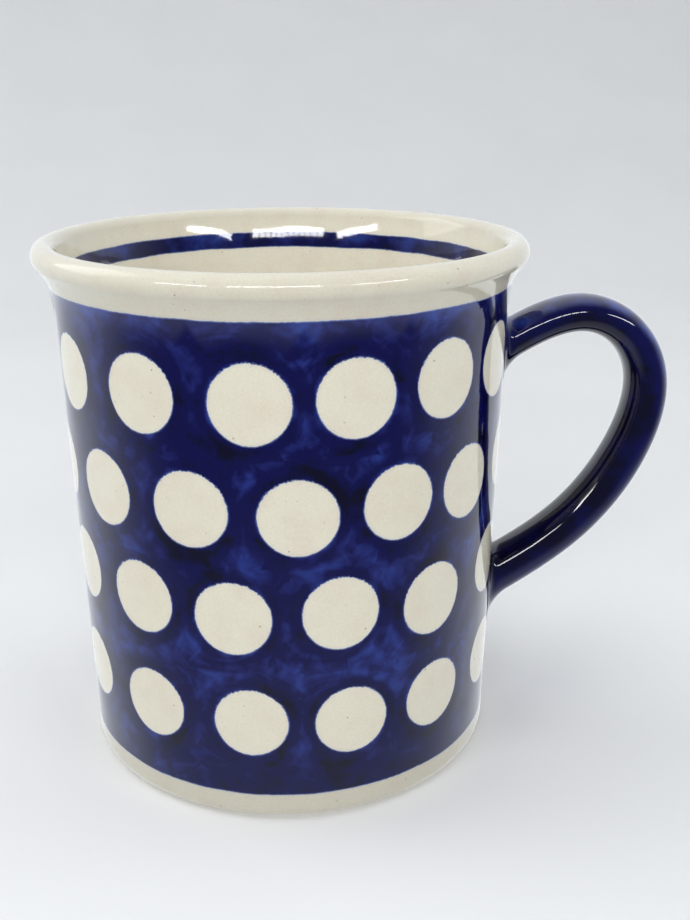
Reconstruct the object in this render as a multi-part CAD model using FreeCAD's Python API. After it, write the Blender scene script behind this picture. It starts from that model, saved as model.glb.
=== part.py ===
import FreeCAD, Part
import math
import os

# A hand-painted stoneware mug, built up the way it is made: a clay cup, a
# clay handle stuck on with two beds of slip, cobalt painted over the clay
# and a clear glaze over everything but the foot ring.
#
# Millimetres. The origin is the centre of the foot ring, in the plane the
# mug stands on. +Z is up along the cup's axis and +X points to the handle.

# Cup, measured over the glaze
cup_height = 98.9
foot_radius = 39.85         # outer wall, carried down to the table
wall_lean = 2.3             # extra outer radius gained over the full height
lip_overhang = 5.4          # widest point of the rolled lip, out from the foot radius
lip_roll = 2.3              # half the thickness of the lip
wall_thickness = 3.6
outer_flare_radius = 10.0   # hollow curve from the wall out to the lip
inner_flare_radius = 50.0   # long curve inside, from the wall up to the lip
floor_height = 6.5          # top of the inside floor
floor_corner_radius = 8.0

# Foot
foot_edge_radius = 3.0
foot_ring_width = 3.2       # bare clay ring that touches the table
foot_inner_rounding = 0.9
recess_depth = 2.2
bare_edge_angle = 32.0      # degrees below level where the glaze stops on the foot edge

# Coats
cobalt_thickness = 0.15
glaze_thickness = 0.35
coat_thickness = cobalt_thickness + glaze_thickness

# Painted bands
foot_band = 5.3             # unpainted wall above the table
rim_band = 7.4              # unpainted wall and lip, down from the top
inner_band_drop = 4.9       # painted line inside, down from the top
inner_band_width = 3.2

# Dots left open in the cobalt: four rows, the second one staggered
dot_radius = 6.7
dots_per_row = 14
dot_rows = [(78.7, 16.6), (59.5, 27.5), (40.7, 12.1), (20.2, 14.4)]   # height, turn in degrees
dot_to_joint_gap = 1.0      # a dot closer than this to a handle joint is left out

# Handle
handle_reach = 30.0         # centre line's farthest poles, out from the wall
handle_low = 25.2           # lowest pole of the centre line
handle_high = 86.9          # highest pole of the centre line
handle_half_width = 4.7     # across the strap, along Y
handle_half_thickness = [3.0, 2.8, 3.6, 3.9, 4.3]   # top joint, crown, back, lower arm, lower joint
handle_thickness_stations = [0.0, 0.12, 0.5, 0.88, 1.0]
section_squareness = 2.3    # 2 is an ellipse, higher is squarer
slip_thickness = 0.8
slip_flare = 1.3            # how far the slip spreads round each handle end
slip_flare_length = 5.0     # how far the spread runs out along the handle
handle_stations = 25
section_points = 12

# Centre line poles as (share of the reach, share of the height between low and high)
handle_poles = [
    (-0.150, 0.800),
    (0.160, 0.905),
    (0.560, 0.995),
    (0.985, 0.825),
    (0.995, 0.575),
    (0.600, 0.225),
    (0.055, 0.078),
    (-0.177, 0.010),
]

# Worked out from the sizes above
lean_angle = math.atan2(wall_lean, cup_height)
along_wall = (math.sin(lean_angle), math.cos(lean_angle))
out_of_wall = (math.cos(lean_angle), -math.sin(lean_angle))
lip_radius = foot_radius + lip_overhang
lip_centre = (lip_radius - lip_roll, cup_height - lip_roll)


def add(point, direction, distance):
    return (point[0] + distance * direction[0], point[1] + distance * direction[1])


def unit(start, end):
    length = math.hypot(end[0] - start[0], end[1] - start[1])
    return ((end[0] - start[0]) / length, (end[1] - start[1]) / length)


def place(point):
    """A (radius, height) pair as a point in the half plane opposite the handle."""
    return FreeCAD.Vector(-point[0], 0, point[1])


def line(start, end):
    return Part.LineSegment(place(start), place(end)).toShape()


def arc(centre, radius, start_direction, end_direction):
    """An arc of less than half a turn between two directions from its centre."""
    middle = (start_direction[0] + end_direction[0], start_direction[1] + end_direction[1])
    middle = unit((0, 0), middle)
    ends = [add(centre, d, radius) for d in (start_direction, middle, end_direction)]
    return Part.Arc(place(ends[0]), place(ends[1]), place(ends[2])).toShape()


def centre_on_wall(wall_foot, offset, reach_to_lip):
    """Centre of an arc that touches a wall line and the lip's roll."""
    base = add(wall_foot, out_of_wall, offset)
    gap = (base[0] - lip_centre[0], base[1] - lip_centre[1])
    slope = gap[0] * along_wall[0] + gap[1] * along_wall[1]
    rise = -slope - math.sqrt(slope ** 2 - gap[0] ** 2 - gap[1] ** 2 + reach_to_lip ** 2)
    return add(base, along_wall, rise)


outer_wall_foot = (foot_radius, 0.0)
inner_wall_foot = add(outer_wall_foot, out_of_wall, -wall_thickness)
outer_flare_centre = centre_on_wall(
    outer_wall_foot, outer_flare_radius, outer_flare_radius + lip_roll)
inner_flare_centre = centre_on_wall(
    inner_wall_foot, inner_flare_radius, inner_flare_radius - lip_roll)


def centre_inside_wall(wall_foot, radius, height):
    """Centre, at a given height, of an arc that touches a wall line from inside the cup."""
    base = add(wall_foot, out_of_wall, -radius)
    return add(base, along_wall, (height - base[1]) / along_wall[1])


foot_edge_centre = centre_inside_wall(
    outer_wall_foot, foot_edge_radius, foot_edge_radius - coat_thickness)
floor_corner_centre = centre_inside_wall(
    inner_wall_foot, floor_corner_radius, floor_height + floor_corner_radius)

level = (1.0, 0.0)
upward = (0.0, 1.0)
downward = (0.0, -1.0)
bare_edge = (math.cos(math.radians(bare_edge_angle)), -math.sin(math.radians(bare_edge_angle)))
into_wall = (-out_of_wall[0], -out_of_wall[1])


def outside_edges(inset):
    """The cup's outside from the foot's edge to the lip's crest, so far under the glaze."""
    to_lip = unit(outer_flare_centre, lip_centre)
    from_lip = (-to_lip[0], -to_lip[1])
    foot_radius_here = foot_edge_radius - inset
    flare_radius_here = outer_flare_radius + inset
    wall_start = add(foot_edge_centre, out_of_wall, foot_radius_here)
    wall_end = add(outer_flare_centre, into_wall, flare_radius_here)
    return [
        arc(foot_edge_centre, foot_radius_here, bare_edge, out_of_wall),
        line(wall_start, wall_end),
        arc(outer_flare_centre, flare_radius_here, into_wall, to_lip),
        arc(lip_centre, lip_roll - inset, from_lip, upward),
    ]


def inside_edges(inset):
    """The cup's inside from the lip's crest to the middle of the floor."""
    to_lip = unit(inner_flare_centre, lip_centre)
    corner_radius_here = floor_corner_radius + inset
    wall_top = add(inner_flare_centre, into_wall, inner_flare_radius - inset)
    wall_bottom = add(floor_corner_centre, out_of_wall, corner_radius_here)
    floor_edge = add(floor_corner_centre, downward, corner_radius_here)
    return [
        arc(lip_centre, lip_roll - inset, upward, to_lip),
        arc(inner_flare_centre, inner_flare_radius - inset, to_lip, into_wall),
        line(wall_top, wall_bottom),
        arc(floor_corner_centre, corner_radius_here, out_of_wall, downward),
        line(floor_edge, (0.0, floor_height - inset)),
    ]


def outside_end(inset):
    """Where the outside line stops on the foot's edge."""
    return add(foot_edge_centre, bare_edge, foot_edge_radius - inset)


def crest(inset):
    return add(lip_centre, upward, lip_roll - inset)


def turn(edges):
    """A closed outline spun once round the cup's axis."""
    outline = Part.Wire(Part.__sortEdges__(edges))
    spun = Part.Face(outline).revolve(FreeCAD.Vector(0, 0, 0), FreeCAD.Vector(0, 0, 1), 360)
    return Part.Solid(spun) if spun.ShapeType == "Shell" else spun


def outside_core(inset):
    """Everything inside the outer surface, with the cup's hollow filled in."""
    top = crest(inset)
    bottom = outside_end(inset)
    closing = [
        line(top, (0.0, top[1])),
        line((0.0, top[1]), (0.0, bottom[1])),
        line((0.0, bottom[1]), bottom),
    ]
    return turn(outside_edges(inset) + closing)


def outside_coat(outer_inset, inner_inset):
    ends = [
        line(crest(outer_inset), crest(inner_inset)),
        line(outside_end(outer_inset), outside_end(inner_inset)),
    ]
    return turn(outside_edges(outer_inset) + outside_edges(inner_inset) + ends)


def inside_coat(outer_inset, inner_inset):
    ends = [
        line(crest(outer_inset), crest(inner_inset)),
        line((0.0, floor_height - outer_inset), (0.0, floor_height - inner_inset)),
    ]
    return turn(inside_edges(outer_inset) + inside_edges(inner_inset) + ends)


def slab(bottom, top):
    """A level slice of space wider than the mug."""
    return Part.makeCylinder(2 * lip_radius, top - bottom, FreeCAD.Vector(0, 0, bottom))


def recess_radius():
    return foot_edge_centre[0] - foot_ring_width


def cup_body():
    """The clay cup: wall, rolled lip, floor and foot ring in one piece."""
    inset = coat_thickness
    ring_inner = recess_radius()
    rounding_centre = (ring_inner, foot_inner_rounding)
    recess_wall = ring_inner - foot_inner_rounding
    inward = (-1.0, 0.0)
    underside = [
        arc(foot_edge_centre, foot_edge_radius - inset, bare_edge, downward),
        line((foot_edge_centre[0], 0.0), (ring_inner, 0.0)),
        arc(rounding_centre, foot_inner_rounding, downward, inward),
        line((recess_wall, foot_inner_rounding), (recess_wall, recess_depth)),
        line((recess_wall, recess_depth), (0.0, recess_depth)),
        line((0.0, recess_depth), (0.0, floor_height - inset)),
    ]
    return turn(outside_edges(inset) + inside_edges(inset) + underside)


def handle_curve():
    """Centre line of the handle, from inside the wall at the top to inside it at the bottom."""
    points = []
    for out, up in handle_poles:
        height = handle_low + up * (handle_high - handle_low)
        wall = foot_radius + wall_lean * height / cup_height
        points.append(FreeCAD.Vector(wall + out * handle_reach, 0, height))
    knots = list(range(len(points) - 2))
    mults = [4] + [1] * (len(knots) - 2) + [4]
    curve = Part.BSplineCurve()
    curve.buildFromPolesMultsKnots(points, mults, knots, False, 3)
    return curve


def thickness_at(share):
    """Half thickness of the strap at a share of the way along the centre line."""
    stations = handle_thickness_stations
    for i in range(len(stations) - 1):
        if share <= stations[i + 1]:
            break
    blend = (share - stations[i]) / (stations[i + 1] - stations[i])
    blend = blend * blend * (3 - 2 * blend)
    start, end = handle_half_thickness[i], handle_half_thickness[i + 1]
    return start + blend * (end - start)


def strap_section(curve, share, growth):
    """The strap's cross-section at a share of the way along, made bigger by a growth."""
    parameter = share * curve.LastParameter
    centre = curve.value(parameter)
    tangent = curve.tangent(parameter)[0]
    across = FreeCAD.Vector(-tangent.z, 0, tangent.x)
    clear_of_wall = centre.x - (foot_radius + wall_lean * centre.z / cup_height)
    spread = max(0.0, 1 - max(0.0, clear_of_wall) / slip_flare_length)
    flare = slip_flare * spread ** 2
    half_thickness = thickness_at(share) + flare + growth
    half_width = handle_half_width + flare + growth
    power = 2 / section_squareness
    points = []
    for i in range(section_points):
        angle = 2 * math.pi * i / section_points
        thick = math.copysign(abs(math.cos(angle)) ** power, math.cos(angle))
        wide = math.copysign(abs(math.sin(angle)) ** power, math.sin(angle))
        offset = across * (half_thickness * thick) + FreeCAD.Vector(0, half_width * wide, 0)
        points.append(centre + offset)
    outline = Part.BSplineCurve()
    outline.interpolate(points, PeriodicFlag=True)
    return Part.Wire(outline.toShape())


def strap(growth):
    """The whole handle loop, ends buried in the wall, made bigger all round by a growth."""
    curve = handle_curve()
    shares = [i / (handle_stations - 1) for i in range(handle_stations)]
    sections = [strap_section(curve, share, growth) for share in shares]
    return Part.makeLoft(sections, True, False)


def joint_height(curve, buried_share, clear_share):
    """Height at which the centre line passes through the outside of the wall."""
    for _ in range(handle_stations):
        share = (buried_share + clear_share) / 2
        point = curve.value(share * curve.LastParameter)
        if point.x < foot_radius + wall_lean * point.z / cup_height:
            buried_share = share
        else:
            clear_share = share
    return point.z


def dot_cutters():
    """Round plugs pointing out from the axis, one for each dot clear of the handle's joints."""
    curve = handle_curve()
    joints = [joint_height(curve, 0.0, 0.5), joint_height(curve, 1.0, 0.5)]
    joint_size = max(handle_half_thickness) + slip_flare + coat_thickness
    closest = dot_radius + joint_size + dot_to_joint_gap
    cutters = []
    for height, row_turn in dot_rows:
        for i in range(dots_per_row):
            angle = math.radians(row_turn + 360.0 * i / dots_per_row)
            outward = FreeCAD.Vector(math.sin(angle), -math.cos(angle), 0)
            round_the_wall = foot_radius * math.atan2(outward.y, outward.x)
            if min(math.hypot(round_the_wall, height - joint) for joint in joints) < closest:
                continue
            start = outward * (foot_radius / 2) + FreeCAD.Vector(0, 0, height)
            cutters.append(Part.makeCylinder(dot_radius, foot_radius, start, outward))
    return cutters


def painted_ground():
    """The cobalt coat all round the cup, open at the dots, before the handle is cut out of it."""
    coat = outside_coat(glaze_thickness, coat_thickness)
    coat = coat.common(slab(foot_band, cup_height - rim_band))
    return coat.cut(dot_cutters())


def inner_cobalt_band():
    coat = inside_coat(glaze_thickness, coat_thickness)
    top = cup_height - inner_band_drop
    return coat.common(slab(top - inner_band_width, top))


def base_glaze():
    """The glaze under the floor, inside the foot ring."""
    radius = recess_radius() - 2 * foot_inner_rounding
    low = recess_depth - glaze_thickness
    edges = [
        line((0.0, recess_depth), (radius, recess_depth)),
        line((radius, recess_depth), (radius - glaze_thickness, low)),
        line((radius - glaze_thickness, low), (0.0, low)),
        line((0.0, low), (0.0, recess_depth)),
    ]
    return turn(edges)


def build():
    clay = coat_thickness
    bare_strap = strap(0.0)
    painted_strap = strap(cobalt_thickness)
    glazed_strap = strap(coat_thickness)
    clay_core = outside_core(clay)
    slip_core = outside_core(clay - slip_thickness)
    middle = (handle_low + handle_high) / 2
    slip = bare_strap.common(slip_core.cut(clay_core))
    ground = painted_ground()
    band = inner_cobalt_band()
    return {
        "cup_body": cup_body(),
        "handle": bare_strap.cut(slip_core),
        "upper_slip_joint": slip.common(slab(middle, cup_height)),
        "lower_slip_joint": slip.common(slab(0.0, middle)),
        "cobalt_ground": ground.cut(painted_strap),
        "inner_cobalt_band": band,
        "handle_cobalt": painted_strap.cut(clay_core).cut(bare_strap),
        "outside_glaze": outside_coat(0.0, clay).cut([ground, glazed_strap]),
        "inside_glaze": inside_coat(0.0, clay).cut(band),
        "handle_glaze": glazed_strap.cut(outside_core(glaze_thickness)).cut(painted_strap),
        "base_glaze": base_glaze(),
    }


def one_solid(shape):
    return shape.Solids[0] if len(shape.Solids) == 1 else shape


os.makedirs("parts", exist_ok=True)
for name, shape in build().items():
    solid = one_solid(shape)
    solid.exportStep("parts/" + name + ".step")
    size = solid.optimalBoundingBox()
    print(name, len(solid.Solids), solid.isValid(), round(solid.Volume, 1),
          round(size.XLength, 2), round(size.YLength, 2), round(size.ZLength, 2))
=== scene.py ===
"""A cobalt and cream stoneware mug, dressed round its CAD frame.

The clay, the paint and the glaze are separate sheets and shells, one for each
thing the potter lays down. Lengths are metres, and millimetres in the dots'
layout, in the brush marks and wherever a name or comment says mm.
"""
import logging
import math
import random
from dataclasses import dataclass, field
from enum import Enum
from typing import Callable, Optional, Sequence, Union

import bmesh
import bpy
from bpy.types import (ColorRamp, CurveMapping, ID, Material, Mesh, NodeSocket,
                       NodeTree, Object)
from mathutils import Matrix, Quaternion, Vector


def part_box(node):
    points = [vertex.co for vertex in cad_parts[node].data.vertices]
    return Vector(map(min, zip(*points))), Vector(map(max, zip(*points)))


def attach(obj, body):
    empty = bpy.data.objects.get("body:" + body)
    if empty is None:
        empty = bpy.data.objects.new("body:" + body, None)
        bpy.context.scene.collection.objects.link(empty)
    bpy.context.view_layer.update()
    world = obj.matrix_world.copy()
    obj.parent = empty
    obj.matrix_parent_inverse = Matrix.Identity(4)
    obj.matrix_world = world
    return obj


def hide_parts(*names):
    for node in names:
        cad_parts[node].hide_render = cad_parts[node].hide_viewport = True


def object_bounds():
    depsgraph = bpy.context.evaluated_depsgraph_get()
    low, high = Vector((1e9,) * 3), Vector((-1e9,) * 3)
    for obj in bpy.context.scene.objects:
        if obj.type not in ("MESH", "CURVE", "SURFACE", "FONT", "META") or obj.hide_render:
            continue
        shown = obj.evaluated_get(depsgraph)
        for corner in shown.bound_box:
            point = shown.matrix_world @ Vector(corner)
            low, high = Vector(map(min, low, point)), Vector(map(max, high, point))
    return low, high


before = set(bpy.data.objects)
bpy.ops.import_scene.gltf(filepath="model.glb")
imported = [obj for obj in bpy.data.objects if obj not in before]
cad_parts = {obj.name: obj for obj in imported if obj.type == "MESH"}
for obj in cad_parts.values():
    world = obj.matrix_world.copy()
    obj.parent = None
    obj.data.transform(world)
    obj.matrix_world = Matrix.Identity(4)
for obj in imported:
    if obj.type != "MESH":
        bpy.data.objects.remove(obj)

MM = 0.001
BODY = "root"
TINY = 1e-6
NO_DOT = (99.0, 0.0, 0.0)       # what the "dot" attribute says where no dot is near
Colour = tuple[float, float, float, float]
Pair = tuple[float, float]
Vec3 = tuple[float, float, float]

logging.basicConfig(level=logging.INFO, format="%(message)s")
log = logging.getLogger("mug")
cad_low, cad_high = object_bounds()


# ---------------------------------------------------------------- node graphs

def operator(operation: str, swap: bool = False) -> Callable[["Signal", object], "Signal"]:
    """Make the method behind one of Python's arithmetic signs.

    Args:
        operation: the Math node's operation.
        swap: put the other value first.

    Returns:
        The method.
    """
    def method(self: "Signal", other: object) -> "Signal":
        """Add the Math node."""
        return self.math(operation, other, swap)
    return method


class Signal:
    """A node socket that takes part in Python arithmetic."""

    def __init__(self, graph: "Graph", socket: NodeSocket) -> None:
        """Keep the socket and the graph it belongs to."""
        self.graph = graph
        self.socket = socket

    def math(self, operation: str, other: object = None, swap: bool = False) -> "Signal":
        """Add one Math node.

        Args:
            operation: the Math node's operation.
            other: the second value, if the operation takes one.
            swap: put the other value first.

        Returns:
            The node's result.
        """
        values = [self] if other is None else [self, other]
        if swap:
            values.reverse()
        return self.graph.node("ShaderNodeMath", {"operation": operation}, dict(enumerate(values)))

    __add__ = __radd__ = operator("ADD")
    __mul__ = __rmul__ = operator("MULTIPLY")
    __sub__, __rsub__ = operator("SUBTRACT"), operator("SUBTRACT", True)
    __truediv__, __pow__ = operator("DIVIDE"), operator("POWER")
    least, most = operator("MINIMUM"), operator("MAXIMUM")

    def ease(self, low: float, high: float, start: float = 0.0, end: float = 1.0) -> "Signal":
        """Move smoothly from start to end as the value goes from low to high."""
        return self.graph.node("ShaderNodeMapRange", {"interpolation_type": "SMOOTHSTEP"},
                               {0: self, 1: low, 2: high, 3: start, 4: end})


def spaced(values: dict[str, object]) -> dict[str, object]:
    """The same values, with a space for each _ in their names."""
    return {label.replace("_", " "): value for label, value in values.items()}


class Graph:
    """A node tree that is filled by one method."""

    def __init__(self, tree: NodeTree) -> None:
        """Start with an empty tree."""
        self.tree = tree
        tree.nodes.clear()

    def node(self, kind: str, settings: Optional[dict] = None, sockets: Optional[dict] = None,
             output: Union[int, str] = 0) -> Signal:
        """Add one node.

        Args:
            kind: the node's type.
            settings: properties, set first; "stops" fills a colour ramp and
                "points" a float curve.
            sockets: values or signals by input name or number.
            output: which output to return.

        Returns:
            The chosen output.
        """
        node = self.tree.nodes.new(kind)
        for name, value in (settings or {}).items():
            if name == "stops":
                self._fill_ramp(node.color_ramp, value)
            elif name == "points":
                self._fill_curve(node.mapping, value)
            else:
                setattr(node, name, value)
        for key, value in (sockets or {}).items():
            if isinstance(value, Signal):
                self.tree.links.new(value.socket, node.inputs[key])
            else:
                node.inputs[key].default_value = value
        outputs = node.outputs
        return Signal(self, outputs[output]) if len(outputs) else Signal(self, None)

    @staticmethod
    def _fill_ramp(ramp: ColorRamp, stops: Sequence[tuple[float, Colour]]) -> None:
        """Set a colour ramp's stops."""
        while len(ramp.elements) < len(stops):
            ramp.elements.new(1.0)
        for element, (place, colour) in zip(ramp.elements, stops):
            element.position = place
            element.color = colour

    @staticmethod
    def _fill_curve(mapping: CurveMapping, points: Sequence[Pair]) -> None:
        """Set a float curve's points."""
        curve = mapping.curves[0]
        while len(curve.points) < len(points):
            curve.points.new(1.0, 1.0)
        for point, place in zip(curve.points, points):
            point.location = place
        mapping.update()

    def vector(self, operation: str, *values: object) -> Signal:
        """Add one Vector Math node."""
        output = "Value" if operation in ("LENGTH", "DOT_PRODUCT", "DISTANCE") else 0
        names = {"SCALE": (0, 3)}.get(operation, range(len(values)))
        return self.node("ShaderNodeVectorMath", {"operation": operation},
                         dict(zip(names, values)), output)

    def join(self, x: object = 0.0, y: object = 0.0, z: object = 0.0) -> Signal:
        """Make a vector of three values."""
        return self.node("ShaderNodeCombineXYZ", None, {0: x, 1: y, 2: z})

    def part(self, vector: Signal, axis: int) -> Signal:
        """Take one component of a vector."""
        return self.node("ShaderNodeSeparateXYZ", None, {0: vector}, axis)

    def blend(self, amount: object, low: object, high: object) -> Signal:
        """Mix two colours."""
        return self.node("ShaderNodeMix", {"data_type": "RGBA"}, {0: amount, 6: low, 7: high}, 2)

    def noise(self, place: Signal, size: float, detail: float = 2.0, rough: float = 0.5,
              warp: float = 0.0) -> Signal:
        """Soft noise whose patches are about size across, in the place's own unit."""
        return self.node("ShaderNodeTexNoise", None, {
            "Vector": place, "Scale": 1.0 / size, "Detail": detail, "Roughness": rough,
            "Distortion": warp})

    def geometry(self, kind: str, output: Union[int, str] = 0, **inputs: object) -> Signal:
        """Add one geometry node; input names have _ for a space."""
        return self.node("GeometryNode" + kind, None, spaced(inputs), output)

    def attribute(self, label: str, output: str) -> Signal:
        """Read a named attribute of the mesh."""
        return self.node("ShaderNodeAttribute", {"attribute_name": label}, None, output)

    def object_place(self, unit: float = 1.0) -> Signal:
        """The place on the object, counted in units."""
        where = self.node("ShaderNodeTexCoord", None, None, "Object")
        return where if unit == 1.0 else self.vector("SCALE", where, 1 / unit)

    def relief(self, height: Signal) -> Signal:
        """A normal bumped by a height in millimetres."""
        return self.node("ShaderNodeBump", None, {
            "Strength": 1.0, "Distance": MM, "Height": height})

    def principled(self, **values: object) -> None:
        """End a material's tree in a Principled surface; input names have _ for a space."""
        surface = self.node("ShaderNodeBsdfPrincipled", None, spaced(values))
        self.node("ShaderNodeOutputMaterial", None, {"Surface": surface})


def new_material(name: str) -> tuple[Material, Graph]:
    """Start a material and the graph that fills it."""
    made = bpy.data.materials.new(name)
    made.use_nodes = True
    return made, Graph(made.node_tree)


def new_tree(name: str, **inputs: str) -> tuple[Graph, dict[str, Signal]]:
    """Start a geometry tree that puts out one mesh.

    Args:
        name: the tree's name.
        inputs: the kind of each input; names have _ for a space.

    Returns:
        The tree's graph, and its inputs by name.
    """
    tree = bpy.data.node_groups.new(name, "GeometryNodeTree")
    sockets = [(label, "INPUT", kind) for label, kind in spaced(inputs).items()]
    for label, way, kind in sockets + [("Mesh", "OUTPUT", "Geometry")]:
        tree.interface.new_socket(label, in_out=way, socket_type="NodeSocket" + kind)
    graph = Graph(tree)
    given = graph.node("NodeGroupInput").socket.node
    return graph, {socket.name: Signal(graph, socket) for socket in given.outputs}


def end_tree(graph: Graph, mesh: Signal, finish: Signal) -> NodeTree:
    """Close a geometry tree: weld the mesh, make it real and set its material."""
    welded = graph.geometry("MergeByDistance", Geometry=mesh, Distance=TINY)
    real = graph.geometry("RealizeInstances", Geometry=welded)
    dressed = graph.geometry("SetMaterial", Geometry=real, Material=finish)
    graph.node("NodeGroupOutput", None, {0: dressed})
    return graph.tree


# ------------------------------------------------------------------- finishes

@dataclass(frozen=True)
class Cream:
    """Clear glaze on bare cream clay."""

    clay: Colour = (0.70, 0.665, 0.545, 1.0)
    flush: Colour = (0.66, 0.575, 0.47, 1.0)
    speck: Colour = (0.16, 0.13, 0.10, 1.0)
    specks_per_mm: float = 0.62

    def colour(self, graph: Graph, mm: Signal) -> Signal:
        """Cream with pinkish clouds, a fine grain and scattered specks."""
        clouds = graph.noise(mm, 5.0, 3.0).ease(0.42, 0.75)
        grain = graph.noise(mm, 0.35, 3.0, 0.7).ease(0.2, 0.8, 0.94, 1.05)
        tone = graph.blend(clouds * 0.45, self.clay, self.flush)
        tone = graph.vector("SCALE", tone, grain)
        return graph.blend(self.specks(graph, mm), tone, self.speck)

    def specks(self, graph: Graph, mm: Signal) -> Signal:
        """Tiny iron spots: a few dark, more of them faint."""
        near, pick = (graph.node("ShaderNodeTexVoronoi", None,
                                 {"Vector": mm, "Scale": self.specks_per_mm}, output)
                      for output in ("Distance", "Color"))
        chance = graph.part(pick, 0)
        size = graph.part(pick, 1) * 0.10 + 0.035
        spot = (near / size).ease(0.55, 1.15, 1.0, 0.0)
        return spot * chance.ease(0.45, 1.0, 0.0, 0.85)


@dataclass(frozen=True)
class Cobalt:
    """Brushed cobalt under clear glaze."""

    pool: Colour = (0.0022, 0.0022, 0.014, 1.0)
    deep: Colour = (0.0030, 0.0034, 0.050, 1.0)
    ground: Colour = (0.0085, 0.0125, 0.100, 1.0)
    thin: Colour = (0.020, 0.044, 0.235, 1.0)
    bleed: Colour = (0.16, 0.23, 0.50, 1.0)

    def colour(self, graph: Graph, mm: Signal, strokes: Signal, thinness: object,
               vigour: float = 0.714) -> Signal:
        """Dark pools, a deep ground and brighter strokes where the coat is thin.

        Args:
            graph: the tree to build in.
            mm: the place, in millimetres.
            strokes: a place drawn out along the way the brush went.
            thinness: how much thinner than usual the coat is; may be negative.
            vigour: how strongly the brush marks show.

        Returns:
            The colour.
        """
        broad = graph.noise(mm, 8.5, 2.0, 0.5, 0.5)
        brush = graph.noise(strokes, 2.6, 2.0, 0.55, 0.4)
        dab = graph.noise(mm, 3.8, 2.0, 0.5, 1.0)
        fine = graph.noise(strokes, 0.6, 2.0, 0.5)
        coat = broad * 0.62 + brush * 0.34 + dab * 0.36 + fine * 0.08
        middle = 0.7        # of the four noises together
        coat = (coat * vigour + (0.5 - middle * vigour)) + thinness
        ramp = [(0.34, self.pool), (0.44, self.deep), (0.49, self.deep), (0.56, self.ground),
                (0.70, self.thin)]
        return graph.node("ShaderNodeValToRGB", {"stops": ramp}, {0: coat})


class Side(Enum):
    """Which surface of the mug a decorated finish covers."""

    OUTSIDE = "outside"
    INSIDE = "inside"
    HANDLE = "handle"


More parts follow.
